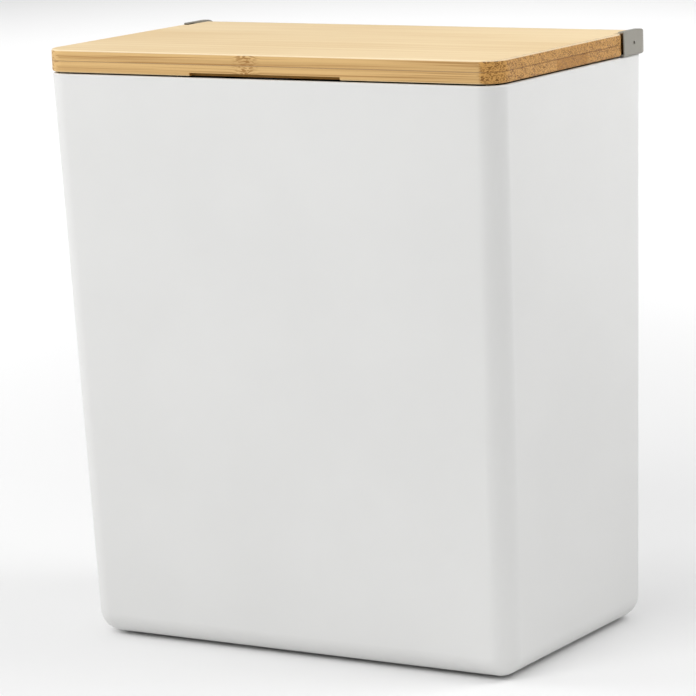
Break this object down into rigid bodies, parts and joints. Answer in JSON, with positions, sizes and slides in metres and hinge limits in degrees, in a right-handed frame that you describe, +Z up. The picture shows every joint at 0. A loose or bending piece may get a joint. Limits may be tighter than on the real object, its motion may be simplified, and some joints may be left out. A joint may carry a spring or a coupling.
{
  "type": "countertop bin",
  "caption": "Tapered white countertop bin with a hinged bamboo lid, grey rear hinge caps, a magnetic push latch and a lift-out inner bucket.",
  "frame": {"origin": "on the standing surface under the middle of the bin", "axes": "+X to the bin's right as seen from the front, +Y to its back, +Z up"},
  "size_m": [0.242, 0.1464, 0.2831],
  "materials": {
    "white_plastic": "matte, finely textured",
    "grey_plastic": "satin",
    "bucket_plastic": "matte",
    "latch_plastic": "satin",
    "bamboo": "oiled, satin",
    "silicone": "soft matte",
    "nylon": "satin",
    "steel": "plain",
    "magnet": "nickel plated"
  },
  "bodies": {
    "body": {"body_shell": "white_plastic", "foot_front_left": "silicone", "foot_front_right": "silicone", "foot_rear_left": "silicone", "foot_rear_right": "silicone", "inner_bucket": "bucket_plastic", "hinge_cap_left": "grey_plastic", "hinge_cap_right": "grey_plastic", "hinge_cap_screws": "steel", "hinge_pin_left": "steel", "hinge_pin_right": "steel", "lid_bumper_left": "silicone", "lid_bumper_right": "silicone", "latch_housing": "latch_plastic", "latch_end_plug": "latch_plastic", "latch_spring": "steel", "latch_screws": "steel"},
    "lid": {"lid_upper_board": "bamboo", "lid_lower_board": "bamboo", "lid_bush_left": "nylon", "lid_bush_right": "nylon", "strike_plate": "steel", "strike_screws": "steel"},
    "plunger": {"latch_plunger": "latch_plastic", "latch_magnet": "magnet"}
  },
  "joints": [
    {"name": "lid_hinge", "type": "hinge", "parent": "body", "child": "lid", "pos_m": [0, 0.05825, 0.2772], "axis": [-1, 0, 0], "range_deg": [-0.3, 105]},
    {"name": "latch_press", "type": "slide", "parent": "body", "child": "plunger", "axis": [0, 0, -1], "range_m": [0, 0.0012], "stiffness_N_per_m": 300, "deforming": ["latch_spring"]}
  ]
}
